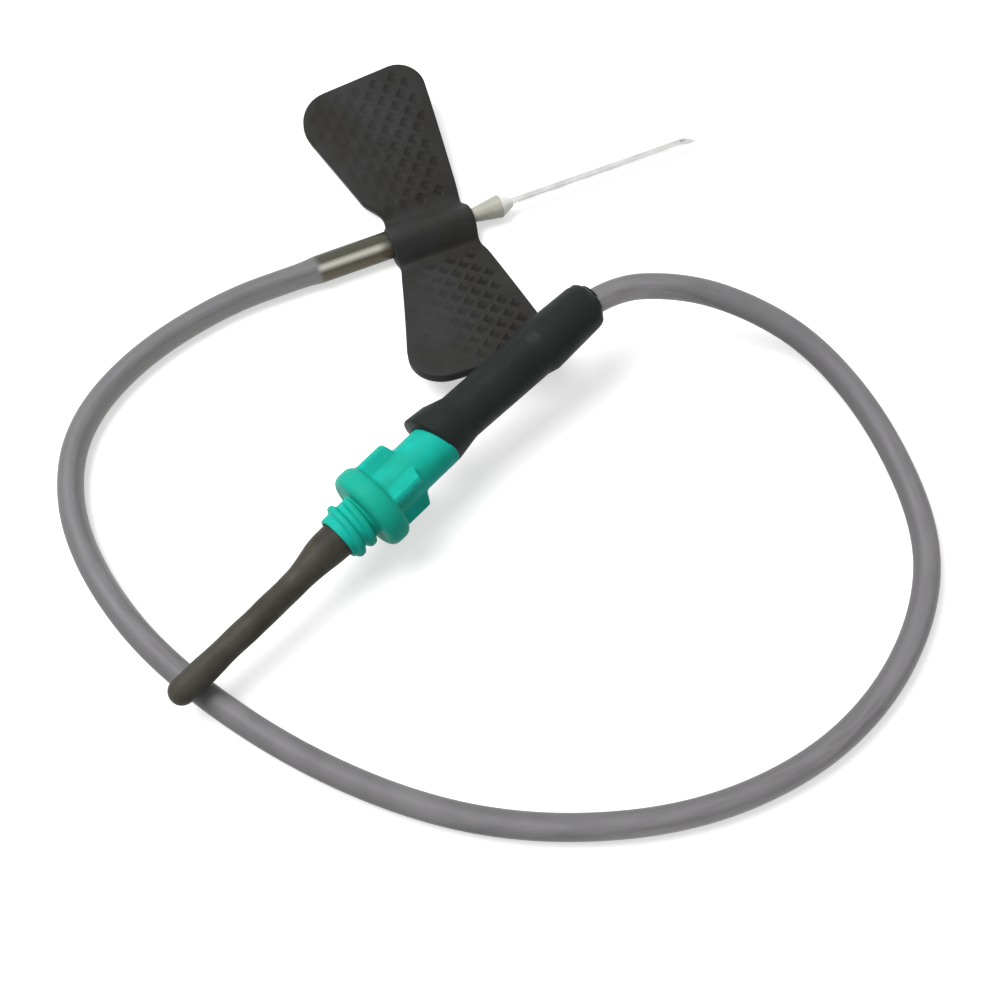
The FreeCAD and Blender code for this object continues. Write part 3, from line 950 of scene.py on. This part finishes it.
class BUTTERFLY_OT_tube(bpy.types.Operator):
    """Clear tube along its loop, stretched over the hub's tail at one end"""

    bl_idname = "butterfly.tube"
    bl_label = "Clear tube"

    def execute(self, context):
        scene = context.scene
        sizes = in_mm(scene.tube_sizes)
        needle = in_mm(scene.needle_sizes)
        connector = in_mm(scene.connector_sizes)
        place = connector_place(connector)
        ends = (connector.reach + sizes.lead, connector.reach - sizes.socket)
        line = self.smooth_line(ROUTE + [tuple(place @ Vector((x, 0, 0)) * MM) for x in ends])
        along = [0.0]
        for before, after in zip(line, line[1:]):
            along.append(along[-1] + (after - before).length / MM)
        tail = in_mm(scene.wing_sizes).barrel_back - needle.tail
        off_tail = smooth_step(tail - 0.2, tail + 1.6, along)
        outer = (sizes.stretched + (sizes.width - sizes.stretched) * off_tail) / 2
        inner = sizes.bore / 2 + sizes.tail_gap * (1 - off_tail)
        piece = link("clear_tube", self.mesh([p / MM for p in line], outer.tolist(), inner.tolist(), along))
        finish_piece(piece, tube_finish(scene.colours, tail), "set")
        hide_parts("tubing")
        [tuple(p) for p in line]
        return {"FINISHED"}

    def smooth_line(self, route):
        """Points of the smooth spline that the route's points control."""
        curve = bpy.data.curves.new("tube_route", "CURVE")
        curve.dimensions = "3D"
        curve.resolution_u = 12
        spline = curve.splines.new("NURBS")
        spline.points.add(len(route) - 1)
        for point, place in zip(spline.points, route):
            point.co = (*place, 1.0)
        spline.order_u = 3
        spline.use_endpoint_u = True
        guide = link("tube_route", curve)
        mesh = bpy.data.meshes.new_from_object(guide)
        line = [v.co.copy() for v in mesh.vertices]
        bpy.data.objects.remove(guide)
        bpy.data.curves.remove(curve)
        bpy.data.meshes.remove(mesh)
        return line

    def mesh(self, line, outer, inner, along, around=40):
        """Hollow tube along a line, with square-cut ends. Each point keeps its distance along the
        line and its turn from the tube's top, which is positive on one side of the loop."""
        vertices = []
        distances = []
        turns = []
        positive_side = Vector((0.7, -0.7, 0))
        tangent = (line[1] - line[0]).normalized()
        side = tangent.cross(Vector((0, 0, 1))).normalized()
        for number, centre in enumerate(line):
            ahead = line[min(number + 1, len(line) - 1)] - line[max(number - 1, 0)]
            turn = tangent.rotation_difference(ahead.normalized())
            side = (turn @ side).normalized()
            tangent = ahead.normalized()
            up = side.cross(tangent)
            level = Vector((-tangent.y, tangent.x, 0)).normalized()
            facing = max(-1.0, min(1.0, 2 * level.dot(positive_side)))
            for radius in (outer[number], inner[number]):
                for step in range(around):
                    spoke = 2 * math.pi * step / around
                    outward = radius * (math.cos(spoke) * side + math.sin(spoke) * up)
                    vertices.append(centre + outward)
                    distances.append(along[number])
                    turns.append(facing * math.atan2(outward.dot(level), outward.z))
        rings = np.arange(len(vertices)).reshape(len(line), 2, around).swapaxes(0, 1).tolist()
        mesh = mesh_from("clear_tube", vertices, hollow_faces(*rings))
        store(mesh, "along", distances)
        store(mesh, "around", turns)
        return mesh


class BUTTERFLY_OT_wings(bpy.types.Operator):
    """Black moulding: barrel, root and both wings, with the lattice of dimples"""

    bl_idname = "butterfly.wings"
    bl_label = "Wings"

    def execute(self, context):
        scene = context.scene
        sizes = in_mm(scene.wing_sizes)
        needle = in_mm(scene.needle_sizes)
        material = wing_finish(scene.colours)
        piece = link("wings", wing_mesh(sizes, needle.height))
        values = {"Depth": sizes.depth, "Lip": sizes.lip, "Floor": sizes.floor}
        add_tree(piece, dimple_tree(), **values, Material=material)
        settle(piece)
        finish_piece(piece, material)
        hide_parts("wing_body", "far_wing")
        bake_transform(piece)
        return {"FINISHED"}


class BUTTERFLY_OT_needle(bpy.types.Operator):
    """Front needle with its ground point, and the rear needle's finish"""

    bl_idname = "butterfly.needle"
    bl_label = "Needles"

    def execute(self, context):
        scene = context.scene
        sizes = in_mm(scene.needle_sizes)
        piece = link("front_needle", self.mesh(sizes))
        piece.data.transform(Matrix.Translation((0, 0, sizes.height)))
        finish_piece(piece, steel_finish("needle_steel", scene.colours), "set")
        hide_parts("front_cannula")
        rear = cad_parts["rear_cannula"]
        rear.data.materials.clear()
        rear.data.materials.append(steel_finish("rear_needle_steel", scene.colours))
        return {"FINISHED"}

    def mesh(self, sizes, around=48):
        """Hollow needle on the X axis, ground to a slanted face with two side facets at the tip."""
        outer = sizes.width / 2
        slope = math.tan(sizes.point)
        facet_turn = math.radians(32)
        facet_slope = 1.45 * slope
        facet_tip = sizes.reach - 0.02
        planes = [(0.0, slope, sizes.reach)]
        planes += [(turn, facet_slope, facet_tip) for turn in (facet_turn, -facet_turn)]

        def ground_end(y, z):
            heights = [z * math.cos(turn) + y * math.sin(turn) for turn, _, _ in planes]
            return min(tip - (h + outer) / rise for h, (_, rise, tip) in zip(heights, planes))

        shares = (0.0, 0.5, 0.86, 1.0)
        vertices = []
        for radius in (outer, sizes.bore / 2):
            for share in shares:
                for step in range(around):
                    turn = 2 * math.pi * step / around
                    y = radius * math.cos(turn)
                    z = radius * math.sin(turn)
                    vertices.append((sizes.seat + (ground_end(y, z) - sizes.seat) * share, y, z))
        rings = np.arange(len(vertices)).reshape(2, len(shares), around).tolist()
        mesh = mesh_from("front_needle", vertices, hollow_faces(*rings))
        mesh.set_sharp_from_angle(angle=math.radians(40))
        return mesh


class BUTTERFLY_OT_hub(bpy.types.Operator):
    """Pale needle hub: tail in the tube, flared nose and cone in front of the wings"""

    bl_idname = "butterfly.hub"
    bl_label = "Needle hub"

    def execute(self, context):
        scene = context.scene
        sizes = in_mm(scene.needle_sizes)
        wings = in_mm(scene.wing_sizes)
        flare = wings.barrel_front + sizes.flare_length
        nose = flare + sizes.cone_length
        inside = sizes.tail + 1.0
        bore = 0.3
        pocket = nose - 0.3
        on_needle = sizes.width / 2 - 0.01
        corners = [
            (inside, 0, 0),
            (inside, bore, 0),
            (sizes.tail, bore, 0),
            (sizes.tail, sizes.tail_width / 2, 0.12),
            (wings.barrel_back, sizes.tail_width / 2, 0),
            (wings.barrel_back, sizes.grip_width / 2, 0),
            (wings.barrel_front - 0.2, sizes.grip_width / 2, 0),
            (wings.barrel_front - 0.2, sizes.neck_width / 2, 0),
            (wings.barrel_front, sizes.neck_width / 2, 0),
            (flare, sizes.flare_width / 2, 0.1),
            (nose, sizes.width / 2 + sizes.cone_wall, 0.05),
            (nose, on_needle, 0),
            (pocket, on_needle, 0),
            (pocket, 0, 0),
        ]
        piece = link("hub", turned("hub", rounded(corners)))
        piece.data.transform(Matrix.Translation((0, 0, sizes.height)))
        piece.data.set_sharp_from_angle(angle=math.radians(50))
        finish_piece(piece, hub_finish(scene.colours, flare), "set")
        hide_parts("needle_hub")
        return {"FINISHED"}


class BUTTERFLY_OT_connector(bpy.types.Operator):
    """Soft black connector with its collar, step and domed end"""

    bl_idname = "butterfly.connector"
    bl_label = "Connector"

    def execute(self, context):
        scene = context.scene
        sizes = in_mm(scene.connector_sizes)
        adapter = in_mm(scene.adapter_sizes)
        tube = in_mm(scene.tube_sizes)
        gap = sizes.clearance
        seat = adapter.seat + gap
        nose_end = adapter.nose_reach + gap
        fade_end = sizes.collar_length + sizes.collar_fade
        step_end = sizes.step_at + sizes.step_length
        corners = [
            (nose_end, 0, 0),
            (nose_end, adapter.nose_tip / 2 + gap, 0),
            (seat, adapter.nose_root / 2 + gap, 0),
            (seat, adapter.body_width / 2 + gap, 0),
            (0, adapter.body_width / 2 + gap, 0.06),
            (0, sizes.collar_width / 2, 0.18),
            (sizes.collar_length, sizes.collar_end_width / 2, 0.5),
            (fade_end, sizes.body_width / 2, 0.8),
            (sizes.step_at, sizes.step_width / 2, 0.5),
            (step_end, sizes.grip_width / 2, 0.5),
            (sizes.reach, sizes.end_width / 2, sizes.dome),
            (sizes.reach, sizes.exit_width / 2, 0.12),
            (sizes.reach - sizes.exit_length, tube.width / 2, 0),
            (sizes.reach - tube.socket, tube.width / 2, 0),
            (sizes.reach - tube.socket, 0, 0),
        ]
        piece = link("connector", turned("connector", rounded(corners, 8), 128))
        for vertex in piece.data.vertices:
            vertex.co = self.slumped(vertex.co, sizes, seat)
        piece.data.transform(connector_place(sizes))
        finish_piece(piece, connector_finish(scene.colours), "set")
        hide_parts("socket_connector")
        return {"FINISHED"}

    def slumped(self, place, sizes, seat):
        """A point of the soft outside, pushed to one side at the mouth, with the lip drawn askew."""
        x, y, z = place
        radius = math.hypot(y, z)
        side = y / max(radius, 1e-6)
        skin, fade = sizes.body_width / 2 - 0.05, 0.1
        if x < seat:
            skin, fade = sizes.collar_width / 2 - 0.1, 0.25
        outside = smooth_step(skin - fade, skin, radius)
        near_mouth = 1 - smooth_step(0.5, 5.0, x)
        leans = {0: 0.42, 2: 0.4, 5: 0.32, 8: 0.28, 11: 0.05, 14: -0.16, sizes.reach: -0.2}
        lean = np.interp(x, list(leans), list(leans.values())) * outside * (1 + 0.5 * side * near_mouth)
        waver = wavered(place, frequency=0.35, share=0.03 * outside)
        bore_radius = 1.9
        if radius > bore_radius:
            pinches = {0: 0.3, seat: 0.38, sizes.collar_length: 0.38, 3: 0}
            pinch = np.interp(x, list(pinches), list(pinches.values())) * max(0.0, -side) ** 2
            y -= pinch * y / radius
            z -= pinch * z / radius
        drawn = 1 if x < seat / 2 else smooth_step(sizes.body_width / 2, sizes.collar_width / 2, radius)
        return Vector((x - sizes.skew * side * near_mouth * drawn, y * waver + lean, z * waver))


class BUTTERFLY_OT_adapter(bpy.types.Operator):
    """Teal adapter: nose, cylinder, ribs, flange and coarse thread in one moulding"""

    bl_idname = "butterfly.adapter"
    bl_label = "Holder adapter"

    def execute(self, context):
        scene = context.scene
        sizes = in_mm(scene.adapter_sizes)
        ribs_end = -sizes.to_ribs - sizes.rib_length
        thread_start = ribs_end - sizes.flange_thickness
        end = thread_start - sizes.thread_length
        material = adapter_finish(scene.colours)
        core = link("adapter", turned("adapter", self.core(sizes, ribs_end, thread_start, end)))
        ribs = self.ribs(sizes, ribs_end, material)
        thread = self.thread(sizes, end, material)
        self.one_skin(core, (ribs, thread), thread_start)
        # Painted shade: the deeper teal goes on the flange, behind the ribs and away from the axis.
        thick = [
            smooth_step(ribs_end + 0.35, ribs_end - 0.2, x) * smooth_step(2.0, 2.8, math.hypot(y, z))
            for x, y, z in (vertex.co for vertex in core.data.vertices)
        ]
        store(core.data, "thick", thick)
        core.data.transform(connector_place(in_mm(scene.connector_sizes)))
        finish_piece(core, material, "adapter")
        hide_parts("holder_adapter")
        return {"FINISHED"}

    def core(self, sizes, ribs_end, thread_start, end):
        """Outline of everything that is round about the axis, from the nose to the cup."""
        bore_floor = sizes.nose_reach - 2.5
        corners = [
            (bore_floor, 0, 0),
            (bore_floor, sizes.flow_bore / 2, 0),
            (sizes.nose_reach, sizes.flow_bore / 2, 0.05),
            (sizes.nose_reach, sizes.nose_tip / 2, 0.15),
            (sizes.seat, sizes.nose_root / 2, 0),
            (sizes.seat, sizes.body_width / 2, 0.1),
            (ribs_end, sizes.body_width / 2, 0.3),
            (ribs_end, sizes.flange_width / 2, sizes.flange_round),
            (thread_start, sizes.flange_width / 2, sizes.flange_round),
            (thread_start, sizes.core_width / 2, 0.2),
            (end, sizes.core_width / 2, 0.1),
            (end, sizes.cup_width / 2, 0.05),
            (end + sizes.cup_depth, sizes.cup_width / 2, 0),
            (end + sizes.cup_depth, 0, 0),
        ]
        return rounded(corners)

    def ribs(self, sizes, ribs_end, material):
        """The ribs in front of the flange."""
        sink = 0.3
        reach = sizes.rib_reach - sink
        edge_width, foot_width = 0.65, 2.8
        work = bmesh.new()
        bmesh.ops.create_cube(work, size=1)
        for vertex in work.verts:
            x, y, z = vertex.co
            slant = sizes.rib_slant if x > 0 and z > 0 else 0
            vertex.co = (
                ribs_end - sink + (x + 0.5) * (sizes.rib_length + sink) - slant,
                y * sizes.rib_thickness * (edge_width if z > 0 else foot_width),
                sink + (z + 0.5) * reach,
            )
        mesh = bpy.data.meshes.new("ribs")
        work.to_mesh(mesh)
        work.free()
        piece = link("ribs", mesh)
        add_tree(piece, rib_tree(), Count=sizes.rib_count, Turn=sizes.rib_turn, Material=material)
        settle(piece)
        return piece

    def thread(self, sizes, end, material):
        """The thread's ridge, wound round the core behind the flange."""
        curve = bpy.data.curves.new("thread_profile", "CURVE")
        curve.dimensions = "3D"
        spline = curve.splines.new("POLY")
        spline.points.add(3)
        spline.use_cyclic_u = True
        sunk = 0.12
        top = (sizes.core_width - sizes.thread_width) / 2
        half_foot = sizes.foot / 2
        half_crest = sizes.crest / 2
        profile = [(sunk, -half_foot), (top, -half_crest), (top, half_crest), (sunk, half_foot)]
        for point, (out, up) in zip(spline.points, profile):
            point.co = (out, up, 0, 1)
        guide = link("thread_profile", curve)
        wound = sizes.thread_pitch * sizes.thread_turns
        values = {"Turns": sizes.thread_turns, "Radius": sizes.core_width / 2, "Length": wound}
        add_tree(guide, thread_tree(), **values, Material=material)
        piece = link("thread", evaluated_mesh(guide))
        bpy.data.objects.remove(guide)
        piece.data.transform(Matrix.Translation((end + (sizes.thread_length - wound) / 2, 0, 0)))
        return piece

    def one_skin(self, core, others, thread_start, voxel=0.07, rounds=48):
        """Joins overlapping solids into one skin, softened most in front of the thread."""
        work = bmesh.new()
        work.from_mesh(core.data)
        for other in others:
            work.from_mesh(other.data)
            mesh = other.data
            bpy.data.objects.remove(other)
            bpy.data.meshes.remove(mesh)
        work.to_mesh(core.data)
        work.free()
        remesh = core.modifiers.new("skin", "REMESH")
        remesh.mode = "VOXEL"
        remesh.voxel_size = voxel
        remesh.use_smooth_shade = True
        settle(core)
        weights = core.vertex_groups.new(name="soft")
        thread_weight = 0.24
        for vertex in core.data.vertices:
            share = smooth_step(thread_start - 0.3, thread_start + 0.3, vertex.co.x)
            weights.add([vertex.index], thread_weight + (1 - thread_weight) * share, "REPLACE")
        soften = core.modifiers.new("soften", "SMOOTH")
        soften.factor = 0.5
        soften.iterations = rounds
        soften.vertex_group = weights.name
        settle(core)


class BUTTERFLY_OT_sleeve(bpy.types.Operator):
    """Dark closed rubber sleeve over the rear needle"""

    bl_idname = "butterfly.sleeve"
    bl_label = "Rubber sleeve"

    def execute(self, context):
        scene = context.scene
        sizes = in_mm(scene.sleeve_sizes)
        adapter = in_mm(scene.adapter_sizes)
        end = -adapter.to_ribs - adapter.rib_length - adapter.flange_thickness - adapter.thread_length
        seat = end + adapter.cup_depth - 0.1
        tip = end - sizes.reach
        places = [
            (seat, sizes.base_width / 2),
            (end - sizes.base_length, sizes.base_end_width / 2),
            (end - sizes.neck_at, sizes.neck_width / 2),
            (end - sizes.waist_at, sizes.waist_width / 2),
            (end - sizes.head_at, sizes.head_width / 2),
        ]
        outline = [(seat, 0)]
        steps = 12
        straightness = 0.15
        for (x0, r0), (x1, r1) in zip(places, places[1:]):
            for step in range(steps):
                share = step / steps
                ease = smooth_step(0, 1, share) * (1 - straightness) + share * straightness
                outline.append((x0 + (x1 - x0) * share, r0 + (r1 - r0) * ease))
        head = sizes.head_width / 2
        for step in range(17):
            turn = math.pi / 2 * step / 16
            outline.append((tip + head * (1 - math.sin(turn)), head * math.cos(turn)))
        piece = link("sleeve", turned("sleeve", outline, 72))
        for vertex in piece.data.vertices:
            waver = wavered(vertex.co, frequency=0.45, share=0.07)
            lean = sizes.lean * smooth_step(end, end - 7, vertex.co.x)
            vertex.co.yz = (vertex.co.y * waver - lean, vertex.co.z * waver)
        piece.data.transform(connector_place(in_mm(scene.connector_sizes)))
        finish_piece(piece, sleeve_finish(scene.colours), "adapter")
        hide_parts("rubber_sleeve")
        return {"FINISHED"}


class BUTTERFLY_OT_stage(bpy.types.Operator):
    """Plain pale floor and soft studio light"""

    bl_idname = "butterfly.stage"
    bl_label = "Floor and lights"

    def execute(self, context):
        scene = context.scene
        scene.view_settings.view_transform = "Standard"
        self.floor(scene)
        self.sky(scene)
        light = bpy.data.lights.new("key_light", "AREA")
        light.shape = "DISK"
        light.size = 0.32
        light.energy = 1.8
        aim(link("key_light", light), (-0.16, 0.12, 0.38), (-0.005, -0.02, 0))
        return {"FINISHED"}

    def floor(self, scene):
        """Wide plain floor that looks white and still takes the soft shadow."""
        half = 0.6
        corners = [(x * half, y * half, 0) for x, y in ((-1, -1), (1, -1), (1, 1), (-1, 1))]
        mesh = bpy.data.meshes.new("floor")
        mesh.from_pydata(corners, [], [(0, 1, 2, 3)])
        piece = link("floor", mesh)
        finish = Finish("floor", Roughness=0.9, Specular_IOR_Level=0.0, Emission_Color=(1, 1, 1, 1))
        white = scene.colours.floor
        seen, strength = self.lift(finish, 0.5)
        tone = finish.mixed(seen, dimmed(white, 0.35), white)
        finish.dress({"Base Color": tone, "Emission Strength": strength})
        mesh.materials.append(finish.material)

    def sky(self, scene):
        """Even white light from all sides."""
        scene.world = bpy.data.worlds.new("sky")
        scene.world.use_nodes = True
        nodes = Nodes(scene.world.node_tree)
        _, strength = self.lift(nodes, 1.0, 0.38)
        nodes.fill(nodes.tree.nodes["Background"], {"Color": (1, 1, 1, 1), "Strength": strength})

    def lift(self, nodes, seen, otherwise=0.0):
        """Whether a ray is the camera's, glossy or transmitted, and the strength it meets."""
        path = nodes.add("ShaderNodeLightPath")
        total = path["Is Camera Ray"]
        for name in ("Is Glossy Ray", "Is Transmission Ray"):
            total = nodes.calc("MAXIMUM", total, path[name])
        return total, nodes.calc("MULTIPLY_ADD", total, seen - otherwise, otherwise)


class BUTTERFLY_PT_panel(bpy.types.Panel):
    bl_idname = "BUTTERFLY_PT_panel"
    bl_label = "Butterfly needle"
    bl_space_type = "VIEW_3D"
    bl_region_type = "UI"
    bl_category = "Butterfly needle"

    def draw(self, context):
        for operator in OPERATORS:
            self.layout.operator(operator.bl_idname)


GROUPS = {
    "needle_sizes": NeedleSizes,
    "wing_sizes": WingSizes,
    "tube_sizes": TubeSizes,
    "connector_sizes": ConnectorSizes,
    "adapter_sizes": AdapterSizes,
    "sleeve_sizes": SleeveSizes,
    "colours": Colours,
}
OPERATORS = (
    BUTTERFLY_OT_camera,
    BUTTERFLY_OT_connector,
    BUTTERFLY_OT_tube,
    BUTTERFLY_OT_wings,
    BUTTERFLY_OT_hub,
    BUTTERFLY_OT_needle,
    BUTTERFLY_OT_adapter,
    BUTTERFLY_OT_sleeve,
    BUTTERFLY_OT_stage,
)


def register():
    for name, group in GROUPS.items():
        bpy.utils.register_class(group)
        setattr(bpy.types.Scene, name, PointerProperty(type=group))
    for operator in OPERATORS:
        bpy.utils.register_class(operator)
    bpy.utils.register_class(BUTTERFLY_PT_panel)


def unregister():
    bpy.utils.unregister_class(BUTTERFLY_PT_panel)
    for operator in reversed(OPERATORS):
        bpy.utils.unregister_class(operator)
    for name, group in reversed(GROUPS.items()):
        delattr(bpy.types.Scene, name)
        bpy.utils.unregister_class(group)


def main():
    """Makes every piece in order."""
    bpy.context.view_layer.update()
    register()
    for operator in OPERATORS:
        family, name = operator.bl_idname.split(".")
        getattr(getattr(bpy.ops, family), name)()


if __name__ == "__main__":
    main()
